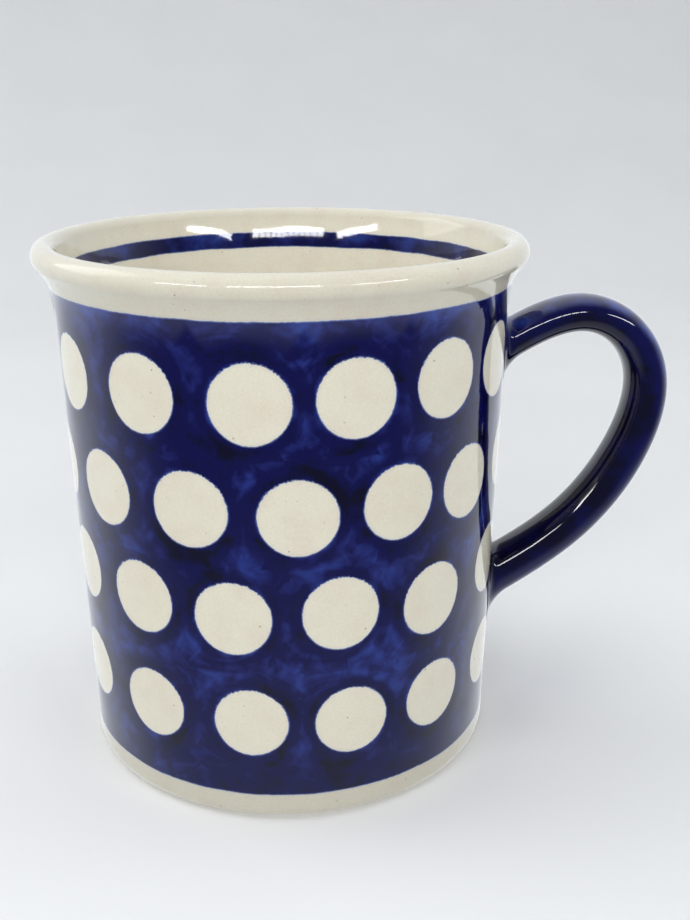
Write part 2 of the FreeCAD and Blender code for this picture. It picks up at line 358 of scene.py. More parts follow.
@dataclass(frozen=True)
class Decoration:
    """Where the cobalt lies on a surface, by height, and how the dots interrupt it."""

    side: Side
    low: float = 0.0
    high: float = 1.0
    # painted light: a factor on the cream below the lip's crest; under 1 paints shade, over 1 paints
    # light
    painted_light_level: float = 0.745            # of the cream, below the lip's crest
    cream: Cream = Cream()
    cobalt: Cobalt = Cobalt()
    handle_vigour: float = 0.42
    glaze_index: float = 1.46
    roughness: Pair = (0.035, 0.075)
    swell: float = 0.12             # mm; slow unevenness of the thrown wall
    peel: float = 0.007             # mm; fine unevenness of the glaze
    ring_reach: float = 12.0        # mm; how far from a dot the brush still follows it
    # depth below the crest over which the painted light level eases to 1, a painted highlight along
    # the crest
    lip_shadow: float = 4.0         # mm below the crest where shade is reached

    def painted(self, graph: Graph, mm: Signal, dot: Signal) -> Signal:
        """Millimetres into the paint from its nearest edge, wavering as a brush does."""
        height = graph.part(mm, 2)
        sway = graph.noise(mm, 9.0, 1.0) - 0.5
        shake = (graph.noise(mm, 0.8, 2.0, 0.6) - 0.5) * 0.20
        band = (height - self.low / MM).least(self.high / MM - height) + sway * 0.5 + shake
        if self.side is Side.INSIDE:
            return band
        upper = graph.part(dot, 1).ease(-0.3, 0.9, 0.25, 1.0)
        teeth = (graph.noise(mm, 0.45, 1.0) - 0.5) * upper * 0.5
        return band.least(graph.part(dot, 0) - sway * 0.35 - shake - teeth)

    def _handle_colour(self, graph: Graph, mm: Signal) -> Signal:
        """Cobalt that thins along the strap's outer ridge, with painted light on its upper arm and
        painted shade on its inner side.
        """
        ridge, along = graph.attribute("ridge", "Fac"), graph.attribute("along", "Fac")
        strokes = graph.join(along * 14.0, graph.part(mm, 1) * 0.5, ridge * 2.0)
        patches = graph.noise(mm, 4.5, 2.0).ease(0.35, 0.65, 0.2, 1.0)
        # painted light: the ridge's lighter blue grows towards the top of the strap
        painted_top_light = graph.part(mm, 2).ease(45.0, 80.0, 0.4, 1.0)
        thinness = ridge.ease(0.4, 0.95, 0.0, 0.24) * patches * painted_top_light
        # painted shade: the inner side of the strap is painted darker
        thinness = thinness - ridge.ease(-0.3, 0.85, 0.14, 0.02)
        return self.cobalt.colour(graph, mm, strokes, thinness, self.handle_vigour)

    def _wall_colour(self, graph: Graph, mm: Signal) -> Signal:
        """Cobalt and cream either side of the painted edges."""
        dot = graph.attribute("dot", "Vector")
        paint = self.painted(graph, mm, dot)
        away = graph.part(dot, 0).least(self.ring_reach)
        strokes = graph.vector("ADD", graph.join(away * 1.1, 0.0, 0.0),
                               graph.vector("SCALE", mm, 0.28))
        below = graph.part(dot, 1).ease(-0.95, -0.45, 1.0, 0.0) * away.ease(0.8, 2.6)
        ring = away.ease(0.2, 1.0) * away.ease(1.2, 2.6, 1.0, 0.0)
        top = (self.high / MM - graph.part(mm, 2)).ease(0.6, 2.6, 0.05, 0.0)
        thinness = top - ring * 0.065 - below * 0.07 + away.ease(1.8, 4.0) * 0.025
        blue = self.cobalt.colour(graph, mm, strokes, thinness)
        # painted light: the cream is scaled by its painted light level, easing to 1 at the lip's
        # crest
        to_top = cad_high[2] / MM - graph.part(mm, 2)
        painted_light_level = to_top.ease(0.0, self.lip_shadow, 1.0, self.painted_light_level)
        cream = graph.vector("SCALE", self.cream.colour(graph, mm), painted_light_level)
        soft = graph.blend(paint.ease(0.0, 0.30, 0.55, 0.0), blue, self.cobalt.bleed)
        tinted = graph.blend(paint.ease(-0.7, 0.0, 0.0, 0.10), cream, self.cobalt.bleed)
        return graph.blend(paint.ease(-0.09, 0.07), tinted, soft)

    def material(self, name: str) -> Material:
        """Build the glazed finish.

        Args:
            name: the material's name.

        Returns:
            The material.
        """
        made, graph = new_material(name)
        mm = graph.object_place(MM)
        on_handle = self.side is Side.HANDLE
        colour = self._handle_colour(graph, mm) if on_handle else self._wall_colour(graph, mm)
        haze = graph.noise(mm, 6.0, 3.0).ease(0.3, 0.8, *self.roughness)
        relief = graph.noise(mm, 9.0, 1.0) * self.swell + graph.noise(mm, 1.4, 2.0) * self.peel
        graph.principled(Base_Color=colour, Roughness=haze, IOR=self.glaze_index,
                         Normal=graph.relief(relief))
        return made


@dataclass(frozen=True)
class BareClay:
    """Fired clay with no glaze on it."""

    pale: Colour = (0.60, 0.54, 0.43, 1.0)
    dark: Colour = (0.46, 0.38, 0.28, 1.0)

    def material(self, name: str) -> Material:
        """A matt, slightly gritty clay."""
        made, graph = new_material(name)
        mm = graph.object_place(MM)
        grit = graph.noise(mm, 0.3, 4.0, 0.7)
        stain = graph.noise(mm, 4.0, 3.0).ease(0.4, 0.8, 0.0, 0.7)
        tone = graph.blend(stain, self.pale, self.dark)
        tone = graph.vector("SCALE", tone, grit.ease(0.2, 0.8, 0.9, 1.08))
        graph.principled(Base_Color=tone, Roughness=grit.ease(0.2, 0.8, 0.62, 0.85),
                         Normal=graph.relief(grit * 0.05))
        return made


# --------------------------------------------------------------- cup geometry

Station = tuple[float, float, float, float]     # radius, height, and the normal's two parts


@dataclass
class CupShape:
    """The cup's section: two wall lines, a foot edge, a flare and a rolled lip."""

    height: float = cad_high[2]
    foot_radius: float = 39.85 * MM
    lean: float = 2.3 * MM
    lip_radius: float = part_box("outside_glaze")[1][1]
    lip_roll: float = 2.3 * MM
    wall: float = 3.6 * MM
    outer_flare: float = 10.0 * MM
    inner_flare: float = 50.0 * MM
    floor: float = 6.5 * MM
    corner: float = 8.0 * MM
    foot_edge: float = 3.0 * MM
    coat: float = 0.5 * MM
    bare_edge: float = math.radians(32.0)
    step: float = 0.45 * MM

    def __post_init__(self) -> None:
        """Work out the centres of the arcs."""
        tilt = math.atan2(self.lean, self.height)
        self.along = Vector((math.sin(tilt), math.cos(tilt)))
        self.out = Vector((math.cos(tilt), -math.sin(tilt)))
        self.lip = Vector((self.lip_radius - self.lip_roll, self.height - self.lip_roll))
        outer_foot = Vector((self.foot_radius, 0.0))
        inner_foot = outer_foot - self.out * self.wall
        self.outer_centre = self._on_wall(outer_foot, self.outer_flare,
                                          self.outer_flare + self.lip_roll)
        self.inner_centre = self._on_wall(inner_foot, self.inner_flare,
                                          self.inner_flare - self.lip_roll)
        self.foot_centre = self._inside(outer_foot, self.foot_edge, self.foot_edge - self.coat)
        self.corner_centre = self._inside(inner_foot, self.corner, self.floor + self.corner)

    def _on_wall(self, foot: Vector, offset: float, reach: float) -> Vector:
        """Centre of an arc that touches a wall line and the lip's roll."""
        gap = foot + self.out * offset - self.lip
        slope = gap.dot(self.along)
        rise = -slope - math.sqrt(slope ** 2 - gap.length_squared + reach ** 2)
        return foot + self.out * offset + self.along * rise

    def _inside(self, foot: Vector, radius: float, height: float) -> Vector:
        """Centre, at a height, of an arc that touches a wall line from inside."""
        base = foot - self.out * radius
        return base + self.along * ((height - base.y) / self.along.y)

    def arc(self, centre: Vector, radius: float, start: Vector, end: Vector,
            facing: float) -> list[Station]:
        """Stations along an arc.

        Args:
            centre: the arc's centre.
            radius: its radius.
            start: direction of its first point.
            end: direction of its last point.
            facing: 1 where the surface faces away from the centre, -1 towards it.

        Returns:
            The stations, both ends among them.
        """
        turn = start.angle_signed(end, 0.0)
        count = max(6, round(abs(turn) * radius / self.step), round(abs(turn) / 0.05))
        first = math.atan2(start.y, start.x)
        stations = []
        for i in range(count + 1):
            angle = first - turn * i / count
            way = Vector((math.cos(angle), math.sin(angle)))
            spot = centre + way * radius
            stations.append((spot.x, spot.y, way.x * facing, way.y * facing))
        return stations

    def outside(self, inset: float = 0.0) -> list[Station]:
        """Stations from the foot's glaze line up to the lip's crest."""
        bare = Vector((math.cos(self.bare_edge), -math.sin(self.bare_edge)))
        to_lip = (self.lip - self.outer_centre).normalized()
        return (self.arc(self.foot_centre, self.foot_edge - inset, bare, self.out, 1.0)
                + self.arc(self.outer_centre, self.outer_flare + inset, -self.out, to_lip, -1.0)
                + self.arc(self.lip, self.lip_roll - inset, -to_lip, Vector((0.0, 1.0)), 1.0))

    def inside(self, inset: float = 0.0) -> list[Station]:
        """Stations from the lip's crest down to the middle of the floor."""
        to_lip = (self.lip - self.inner_centre).normalized()
        up = Vector((0.0, 1.0))
        return (self.arc(self.lip, self.lip_roll - inset, up, to_lip, 1.0)
                + self.arc(self.inner_centre, self.inner_flare - inset, to_lip, -self.out, 1.0)
                + self.arc(self.corner_centre, self.corner + inset, self.out, -up, -1.0)
                + [(0.0, self.floor - inset, 0.0, 1.0)])

    def radius_at(self, height: float) -> float:
        """Outside radius at a height between the foot and the lip."""
        if height <= self.outer_centre.y:
            return self.foot_radius + self.lean * height / self.height
        rise = height - self.outer_centre.y
        return self.outer_centre.x - math.sqrt(self.outer_flare ** 2 - rise ** 2)

    def wall_normal(self, spot: Vector) -> Vector:
        """The outward direction of the wall or flare at a point on it."""
        round_axis = Vector((spot.x, spot.y, 0.0)).normalized()
        if spot.z <= self.outer_centre.y:
            return round_axis * self.out.x + Vector((0.0, 0.0, self.out.y))
        rise = (spot.z - self.outer_centre.y) / self.outer_flare
        return round_axis * math.sqrt(1 - rise ** 2) - Vector((0.0, 0.0, rise))


def between(before: Station, after: Station, share: float) -> Station:
    """The station a share of the way from one to the next."""
    return tuple(a + (b - a) * share for a, b in zip(before, after))


def clip(stations: Sequence[Station], low: float, high: float) -> list[Station]:
    """Keep the part of a line of stations between two heights, cut exactly at both."""
    margin = 1e-9
    kept: list[Station] = []
    for before, after in zip(stations, stations[1:]):
        shares = [0.0, 1.0]
        for level in (low, high):
            if (before[1] - level) * (after[1] - level) < 0:
                shares.append((level - before[1]) / (after[1] - before[1]))
        for share in sorted(shares):
            point = between(before, after, share)
            is_new = not kept or math.dist(kept[-1], point) > margin
            if low - margin <= point[1] <= high + margin and is_new:
                kept.append(point)
    return kept


def fill_in(stations: Sequence[Station], longest: float) -> list[Station]:
    """Add stations where two neighbours are farther apart than longest."""
    dense = [stations[0]]
    for before, after in zip(stations, stations[1:]):
        parts = max(1, math.ceil(math.dist(before[:2], after[:2]) / longest))
        dense += [between(before, after, i / parts) for i in range(1, parts + 1)]
    return dense


def heights(node: str) -> Pair:
    """The lowest and highest level of one of the frame's nodes."""
    low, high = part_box(node)
    return low[2], high[2]


def new_object(name: str, data: ID) -> Object:
    """Put an object in the scene."""
    made = bpy.data.objects.new(name, data)
    bpy.context.scene.collection.objects.link(made)
    return made


def new_mesh(name: str, points: Sequence, faces: Sequence, **vectors: Sequence) -> Mesh:
    """A mesh of points and faces, with vectors by name at its points."""
    mesh = bpy.data.meshes.new(name)
    mesh.from_pydata(points, [], faces)
    for label, values in vectors.items():
        set_vectors(mesh, label, values)
    return mesh


def set_vectors(mesh: Mesh, label: str, values: Sequence) -> None:
    """Store a named vector at each point of a mesh."""
    layer = mesh.attributes.new(label, "FLOAT_VECTOR", "POINT")
    for item, value in zip(layer.data, values):
        item.vector = value


def add_piece(name: str, mesh: Mesh, material: Material) -> Object:
    """Put a mesh in the scene with one material."""
    mesh.materials.clear()
    mesh.materials.append(material)
    return new_object(name, mesh)


def settle(piece: Object, slot: str, *nodes: str) -> None:
    """Tie a finished piece to the frame and report it."""
    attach(piece, BODY)
    if nodes:
        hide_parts(*nodes)
    log.info("%s: %d faces", piece.name, len(piece.data.polygons))


def shell(name: str, face: Sequence[Station], back: Sequence[Station],
          around: int = 288) -> Mesh:
    """Turn a glazed face and its hidden back once round the axis as a closed shell.

    Args:
        name: the mesh's name.
        face: stations of the side that shows.
        back: stations of the side that lies on the clay, in the same order.
        around: how many steps make the turn.

    Returns:
        The mesh, with exact normals on the side that shows.
    """
    loop = list(face) + list(reversed(back))
    points: list[Vec3] = []
    rows: list[list[int]] = []
    for radius, height, _, _ in loop:
        if radius < TINY:
            rows.append([len(points)] * around)
            points.append((0.0, 0.0, height))
            continue
        rows.append(list(range(len(points), len(points) + around)))
        for i in range(around):
            angle = math.tau * i / around
            points.append((radius * math.sin(angle), -radius * math.cos(angle), height))
    faces = []
    for k, row in enumerate(rows):
        following = rows[(k + 1) % len(rows)]
        for i in range(around):
            j = (i + 1) % around
            corners = list(dict.fromkeys((row[i], row[j], following[j], following[i])))
            if len(corners) > 2:
                faces.append(corners)
    mesh = new_mesh(name, points, faces)
    turn_outwards(mesh)
    spin_normals = {}
    for k, (_, _, across, up) in enumerate(face):
        for i, index in enumerate(rows[k]):
            angle = math.tau * i / around
            spin_normals[index] = Vector((across * math.sin(angle), -across * math.cos(angle), up))
    exact_normals(mesh, lambda vertex: spin_normals.get(vertex))
    return mesh


def turn_outwards(mesh: Mesh) -> None:
    """Make every face point out of the solid and shade them smooth."""
    work = bmesh.new()
    work.from_mesh(mesh)
    bmesh.ops.recalc_face_normals(work, faces=work.faces)
    work.to_mesh(mesh)
    work.free()
    mesh.shade_smooth()


def exact_normals(mesh: Mesh, normal_of: Callable[[int], Optional[Vector]]) -> None:
    """Give the faces of the glazed side their true surface normals.

    Args:
        mesh: a closed mesh.
        normal_of: the surface's normal at a vertex, or None for a hidden one.
    """
    agree = 0.7         # least cosine between a face's own normal and the surface's
    normals = []
    for polygon in mesh.polygons:
        wanted = [normal_of(v) for v in polygon.vertices]
        shows = all(n is not None and n.dot(polygon.normal) > agree for n in wanted)
        normals += wanted if shows else [polygon.normal.copy()] * len(wanted)
    mesh.normals_split_custom_set(normals)
    mesh.update()


@dataclass
class Cup:
    """The clay cup and the plain glazed shells on it."""

    shape: CupShape
    foot_ring: float = 3.2 * MM
    recess_rounding: float = 0.9 * MM
    recess: float = 2.2 * MM
    glaze: float = 0.35 * MM
    # painted light: the inside's cream is painted brighter than the outside's
    inside_painted_light: float = 1.10
    longest_step: float = 2.5 * MM

    def build(self) -> None:
        """Make the clay, the foot band, the rim, the inside with its blue line, and the base."""
        ground_low, ground_high = heights("cobalt_ground")
        line_low, line_high = heights("inner_cobalt_band")
        outside = Decoration(Side.OUTSIDE, ground_low, ground_high)
        inside = Decoration(Side.INSIDE, line_low, line_high, self.inside_painted_light)
        self._clay(BareClay().material("bare_fired_clay"))
        shape = self.shape
        face, back = shape.outside(), shape.outside(shape.coat)
        for name, low, high, finish in (
                ("foot_band", 0.0, ground_low, "glazed_foot_band"),
                ("rim_outside", ground_high, shape.height, "glazed_rim")):
            self._coat(name, clip(face, low, high), clip(back, low, high),
                       outside.material(finish), "clear_glaze", dotless=True)
        face = fill_in(shape.inside(), self.longest_step)
        back = fill_in(shape.inside(shape.coat), self.longest_step)
        for name, low, high, slot, nodes in (
                ("rim_inside", line_high, shape.height, "clear_glaze", ()),
                ("inner_blue_line", line_low, line_high, "cobalt", ("inner_cobalt_band",)),
                ("cup_lining", 0.0, line_low, "clear_glaze", ("inside_glaze",))):
            self._coat(name, clip(face, low, high), clip(back, low, high),
                       inside.material(name + "_glaze"), slot, *nodes)
        self._base(outside.material("base_glaze_finish"))

    @staticmethod
    def _coat(name: str, face: Sequence[Station], back: Sequence[Station],
              finish: Material, slot: str, *nodes: str, dotless: bool = False) -> None:
        """One turned shell, finished and tied to the frame.

        Args:
            name: the piece's name.
            face: stations of the side that shows.
            back: stations of the hidden side.
            finish: its material.
            slot: its material slot in the frame; not used.
            nodes: the frame's nodes it stands for.
            dotless: mark it as far from any dot, for a finish that looks for them.
        """
        mesh = shell(name, face, back)
        if dotless:
            set_vectors(mesh, "dot", [NO_DOT] * len(mesh.vertices))
        settle(add_piece(name, mesh, finish), slot, *nodes)

    def _clay(self, material: Material) -> None:
        """The clay body, bare on the foot ring and in the recess's wall."""
        shape = self.shape
        coat = shape.coat
        down = Vector((0.0, -1.0))
        bare = Vector((math.cos(shape.bare_edge), -math.sin(shape.bare_edge)))
        edge = shape.arc(shape.foot_centre, shape.foot_edge - coat, bare, down, 1.0)
        ring_inner = shape.foot_centre.x - self.foot_ring
        rounding = Vector((ring_inner, self.recess_rounding))
        inner = shape.arc(rounding, self.recess_rounding, down, Vector((-1.0, 0.0)), 1.0)
        recess_wall = ring_inner - self.recess_rounding
        under = [(recess_wall, self.recess, -1.0, 0.0), (0.0, self.recess, 0.0, -1.0)]
        upper = shape.outside(coat) + shape.inside(coat)[1:]
        self._coat("clay_cup", list(reversed(edge + inner + under)), list(reversed(upper)),
                   material, "stoneware_clay", "cup_body")

    def _base(self, material: Material) -> None:
        """The glaze inside the foot ring."""
        (_, _, low), (radius, _, high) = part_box("base_glaze")
        rim = radius - self.glaze
        face = [(0.0, low, 0.0, -1.0), (rim / 2, low, 0.0, -1.0), (rim, low, 0.0, -1.0)]
        back = [(0.0, high, 0.0, 1.0), (radius, high, 0.0, 1.0)]
        self._coat("base_glaze_disc", face, back, material, "clear_glaze", "base_glaze",
                   dotless=True)


# ----------------------------------------------------------- painted surface

@dataclass
class Dot:
    """One dot left bare in the cobalt; turn in degrees from the front, lengths in mm."""

    turn: float
    height: float
    radius: float
    bare: bool = True


@dataclass
class DotLayout:
    """Where the painter set the dots: listed one by one in front, evenly round the back."""

    seed: int = 7
    per_row: int = 14
    radius: float = 6.72
    lowest_row_size: float = 0.975
    joint_turn: float = 90.0
    joint_clear: float = 12.0
    row_between_joints: int = 1
    front_size_sway: float = 0.05
    turn_sway: float = 0.8
    height_sway: float = 0.4
    size_sway: Pair = (-0.12, 0.08)
    front: tuple[tuple[Pair, ...], ...] = (
        ((-62.0, 78.5), (-34.5, 78.4), (-7.9, 78.1), (15.7, 78.6), (40.0, 79.4), (63.6, 79.3)),
        ((-49.5, 59.7), (-23.1, 59.6), (2.3, 58.9), (26.8, 59.7), (49.5, 59.5)),
        ((-66.0, 41.4), (-39.0, 41.3), (-13.8, 40.4), (12.2, 41.0), (38.2, 39.5), (66.8, 40.0)),
        ((-65.5, 20.7), (-37.8, 20.4), (-10.3, 20.2), (15.0, 19.8), (39.9, 19.9), (67.4, 19.9)),
    )

    def rows(self) -> list[list[Dot]]:
        """All dots by row, in order round the cup; one hidden by a joint is not bare."""
        hand = random.Random(self.seed)
        made = []
        for k, seen in enumerate(self.front):
            size = self.radius * (self.lowest_row_size if k == len(self.front) - 1 else 1.0)
            slip = self.front_size_sway
            row = [Dot(turn, height, size + hand.uniform(-slip, slip)) for turn, height in seen]
            missing = self.per_row - len(seen)
            start, end = seen[-1][0], seen[0][0] + 360.0
            level = sum(height for _, height in seen) / len(seen)
            for i in range(1, missing + 1):
                turn = (start + (end - start) * i / (missing + 1)
                        + hand.uniform(-self.turn_sway, self.turn_sway))
                under_joint = (abs(turn - self.joint_turn) < self.joint_clear
                               and k != self.row_between_joints)
                row.append(Dot(turn, level + hand.uniform(-self.height_sway, self.height_sway),
                               size + hand.uniform(*self.size_sway), not under_joint))
            made.append(row)
        return made


def wrap_tree() -> NodeTree:
    """A geometry tree that lays a flat sheet, or flat tiles set on points, round the wall."""
    graph, name = new_tree(
        "lay_on_wall", Sheet="Geometry", Tile="Object", Foot_Radius="Float", Lean="Float",
        Flare_Height="Float", Flare_Centre="Float", Flare_Radius="Float", Finish="Material")
    tile = graph.node("GeometryNodeObjectInfo", None, {0: name["Tile"]}, "Geometry")
    spread = graph.node("GeometryNodeInputNamedAttribute", {"data_type": "FLOAT_VECTOR"},
                        {"Name": "spread"})
    tiles = graph.geometry("InstanceOnPoints", Points=name["Sheet"], Instance=tile, Scale=spread)
    loose = graph.geometry("RealizeInstances", Geometry=tiles)
    size = graph.geometry("AttributeDomainSize", "Face Count", Geometry=name["Sheet"])
    is_sheet = graph.node("FunctionNodeCompare", {"data_type": "INT", "operation": "GREATER_THAN"},
                          {2: size, 3: 0})
    flat = graph.node("GeometryNodeSwitch", {"input_type": "GEOMETRY"},
                      {0: is_sheet, 1: loose, 2: name["Sheet"]})
    spot = graph.node("GeometryNodeInputPosition")
    angle = graph.part(spot, 0) / name["Foot Radius"]
    height = graph.part(spot, 1)
    straight = name["Foot Radius"] + height * name["Lean"]
    rise = (height - name["Flare Height"]).most(0.0)
    curl = (name["Flare Radius"] ** 2.0 - rise * rise).math("SQRT")
    over = rise.math("GREATER_THAN", 0.0)
    radius = straight + (name["Flare Centre"] - curl - straight) * over + graph.part(spot, 2)
    placed = graph.join(radius * angle.math("SINE"), radius * angle.math("COSINE") * -1.0, height)
    laid = graph.geometry("SetPosition", Geometry=flat, Position=placed)
    return end_tree(graph, laid, name["Finish"])


def apply_tree(piece: Object, tree: NodeTree, values: dict) -> Mesh:
    """Run a geometry tree on an object and take the result as a plain mesh.

    Args:
        piece: the object the tree works on; it is removed.
        tree: the geometry tree.
        values: what its inputs get, by name.

    Returns:
        The finished mesh.
    """
    modifier = piece.modifiers.new(tree.name, "NODES")
    modifier.node_group = tree
    for item in tree.interface.items_tree:
        if item.item_type == "SOCKET" and item.in_out == "INPUT" and item.name in values:
            modifier[item.identifier] = values[item.name]
    piece.update_tag()
    graph = bpy.context.evaluated_depsgraph_get()
    mesh = bpy.data.meshes.new_from_object(piece.evaluated_get(graph))
    piece.modifiers.remove(modifier)
    bpy.data.objects.remove(piece)
    return mesh


@dataclass
class PaintedWall:
    """The cobalt ground and the cream dots in it, drawn flat and laid round the wall."""

    shape: CupShape
    layout: DotLayout = field(default_factory=DotLayout)
    across: int = 32
    upright: int = 26
    edges: tuple[float, ...] = (0.0, 0.2, 0.5, 1.0, 1.7)
    dot_rings: tuple[float, ...] = (1.0, 0.97, 0.9, 0.72, 0.45, 0.2)
    near: float = 16.0              # mm; a dot farther off is not looked at
    filled_hole: float = 1.0        # mm; radius of the fan where a dot is left out
    margin: float = 0.15            # mm; least way from a ring to its cell's outline
    # painted shade: the cream of the dots is painted a little darker
    painted_light_level: float = 0.92

    def __post_init__(self) -> None:
        """Read the painted height from the frame."""
        low, high = (height / MM for height in heights("cobalt_ground"))
        self.rows = self.layout.rows()
        self.bare = [dot for row in self.rows for dot in row if dot.bare]
        levels = [sum(dot.height for dot in row) / len(row) for row in self.rows]
        middles = [(a + b) / 2 for a, b in zip(levels, levels[1:])]
        self.levels = [high] + middles + [low]
        self.columns = self.layout.per_row * self.across
        self.step = 360.0 / self.columns

    def _flat(self, turn: float, height: float, depth: float = 0.0) -> Vec3:
        """A place on the flat sheet for a turn in degrees and a height in mm."""
        return (math.radians(turn) * self.shape.foot_radius, height * MM, -depth)

    def _radius(self, height: float) -> float:
        """The wall's radius in mm at a height in mm."""
        return self.shape.radius_at(height * MM) / MM

    def _from_dots(self, turn: float, height: float) -> Vec3:
        """How far in mm a place lies outside its nearest dot, and how high up that dot's edge."""
        best = NO_DOT
        for dot in self.bare:
            across = math.radians((turn - dot.turn + 180.0) % 360.0 - 180.0)
            across *= self._radius(dot.height)
            rise = height - dot.height
            if abs(across) > self.near or abs(rise) > self.near:
                continue
            reach = math.hypot(across, rise)
            best = min(best, (reach - dot.radius, rise / max(reach, TINY), 0.0))
        return best

    def _edge_loop(self, left: int, right: int, top: float, bottom: float) -> list[Pair]:
        """The outline of a cell as (turn, height), once round."""
        up = [bottom + (top - bottom) * i / self.upright for i in range(self.upright)]
        down = [top + (bottom - top) * i / self.upright for i in range(self.upright)]
        return ([(i * self.step, bottom) for i in range(left, right)]
                + [(right * self.step, height) for height in up]
                + [(i * self.step, top) for i in range(right, left, -1)]
                + [(left * self.step, height) for height in down])

    def _cell(self, dot: Dot, outline: Sequence[Pair], points: list, faces: list,
              local: list) -> None:
        """Fill a cell between its outline and its dot, in two layers.

        Args:
            dot: the dot in the cell.
            outline: the cell's outline.
            points: the sheet's points, added to.
            faces: the sheet's faces, added to.
            local: for each point, how far in mm it lies outside its nearest dot, and how
                high up that dot's edge.
        """
        wall = self._radius(dot.height)
        hole = dot.radius if dot.bare else self.filled_hole
        degree = math.radians(wall)
        spokes = [((turn - dot.turn) * degree, height - dot.height) for turn, height in outline]
        count = len(outline)
        rings = []
        for layer in (0.0, self.shape.coat):
            for edge in (self.edges if layer == 0.0 else self.edges[:1]) + (None,):
                rings.append(len(points))
                for (dx, dy), (turn, height) in zip(spokes, outline):
                    if edge is not None:
                        reach = min(hole + edge, math.hypot(dx, dy) - self.margin)
                        reach /= math.hypot(dx, dy)
                        turn = dot.turn + dx * reach / degree
                        height = dot.height + dy * reach
                    points.append(self._flat(turn, height, layer))
                    local.append(self._from_dots(turn, height))
        rings_on_top = len(self.edges) + 1
        for i in range(count):
            j = (i + 1) % count
            for inner, outer in zip(rings[:rings_on_top], rings[1:rings_on_top]):
                faces.append((inner + i, inner + j, outer + j, outer + i))
            inner, outer = rings[rings_on_top:]
            faces.append((inner + i, outer + i, outer + j, inner + j))
            if dot.bare:
                faces.append((rings[0] + j, rings[0] + i, inner + i, inner + j))
            if outline[i][1] == outline[j][1] and outline[i][1] in (self.levels[0], self.levels[-1]):
                faces.append((rings[rings_on_top - 1] + i, rings[rings_on_top - 1] + j,
                              outer + j, outer + i))
        if not dot.bare:
            for ring, layer in ((rings[0], 0.0), (rings[rings_on_top], self.shape.coat)):
                middle = len(points)
                points.append(self._flat(dot.turn, dot.height, layer))
                local.append(self._from_dots(dot.turn, dot.height))
                for i in range(count):
                    j = (i + 1) % count
                    faces.append((middle, ring + i, ring + j))

    def _ground_sheet(self) -> Object:
        """The flat cobalt sheet with its round openings."""
        points: list = []
        faces: list = []
        local: list = []
        for k, row in enumerate(self.rows):
            turns = [dot.turn for dot in row]
            wrapped = turns + [turns[0] + 360.0]
            cuts = [round((a + b) / 2 / self.step) for a, b in zip(wrapped, wrapped[1:])]
            cuts = [cuts[-1] - self.columns] + cuts
            for dot, left, right in zip(row, cuts, cuts[1:]):
                outline = self._edge_loop(left, right, self.levels[k], self.levels[k + 1])
                self._cell(dot, outline, points, faces, local)
        return new_object("ground_sheet", new_mesh("ground_sheet", points, faces, dot=local))

    def _dot_tile(self) -> Object:
        """One round tile of unit radius and full coat depth, as a closed disc."""
        count = 2 * (self.across + self.upright)
        points: list = [(0.0, 0.0, 0.0)]
        faces: list = []
        layers = [(ring, 0.0) for ring in self.dot_rings] + [(1.0, -self.shape.coat)]
        for ring, depth in layers:
            for i in range(count):
                angle = math.tau * i / count
                points.append((ring * math.cos(angle), ring * math.sin(angle), depth))
        back = len(points) - count
        points.append((0.0, 0.0, -self.shape.coat))
        for i in range(count):
            j = (i + 1) % count
            for ring in range(len(self.dot_rings) - 1):
                outer, inner = 1 + ring * count, 1 + (ring + 1) * count
                faces.append((outer + i, outer + j, inner + j, inner + i))
            last = 1 + (len(self.dot_rings) - 1) * count
            faces.append((0, last + i, last + j))
            faces.append((1 + j, 1 + i, back + i, back + j))
            faces.append((back + j, back + i, back + count))
        return new_object("dot_tile", new_mesh("dot_tile", points, faces, unit=points))

    def _dot_points(self) -> Object:
        """The middles of the dots as loose points, each with its spread."""
        spread = []
        for dot in self.bare:
            squeeze = self.shape.foot_radius / MM / self._radius(dot.height)
            spread.append((dot.radius * MM * squeeze, dot.radius * MM, 1.0))
        middles = [self._flat(dot.turn, dot.height) for dot in self.bare]
        mesh = new_mesh("dot_points", middles, [], spread=spread)
        size = mesh.attributes.new("size", "FLOAT", "POINT")
        size.data.foreach_set("value", [dot.radius for dot in self.bare])
        return new_object("dot_points", mesh)

    def build(self) -> None:
        """Lay the ground and the dots round the wall and finish them."""
        shape = self.shape
        decoration = Decoration(Side.OUTSIDE, *heights("cobalt_ground"), self.painted_light_level)
        tree = wrap_tree()
        tile = self._dot_tile()
        sizes = {"Foot Radius": shape.foot_radius, "Lean": shape.lean / shape.height,
                 "Flare Height": shape.outer_centre.y, "Flare Centre": shape.outer_centre.x,
                 "Flare Radius": shape.outer_flare, "Tile": tile}
        ground_finish = decoration.material("brushed_cobalt_ground")
        dot_finish = decoration.material("cream_dot_glaze")
        ground = apply_tree(self._ground_sheet(), tree, sizes | {"Finish": ground_finish})
        dots = apply_tree(self._dot_points(), tree, sizes | {"Finish": dot_finish})
        bpy.data.objects.remove(tile)
        local = []
        for place, own in zip(*(dots.attributes[label].data for label in ("unit", "size"))):
            reach = place.vector.xy.length
            local.append(((reach - 1.0) * own.value, place.vector.y / max(reach, TINY), 0.0))
        set_vectors(dots, "dot", local)
        for label in ("unit", "size", "spread"):
            if label in dots.attributes:
                dots.attributes.remove(dots.attributes[label])
        for name, mesh, finish, slot, node in (
                ("cobalt_ground_coat", ground, ground_finish, "cobalt", "cobalt_ground"),
                ("cream_dots", dots, dot_finish, "clear_glaze", "outside_glaze")):
            self._finish(mesh)
            settle(add_piece(name, mesh, finish), slot, node)

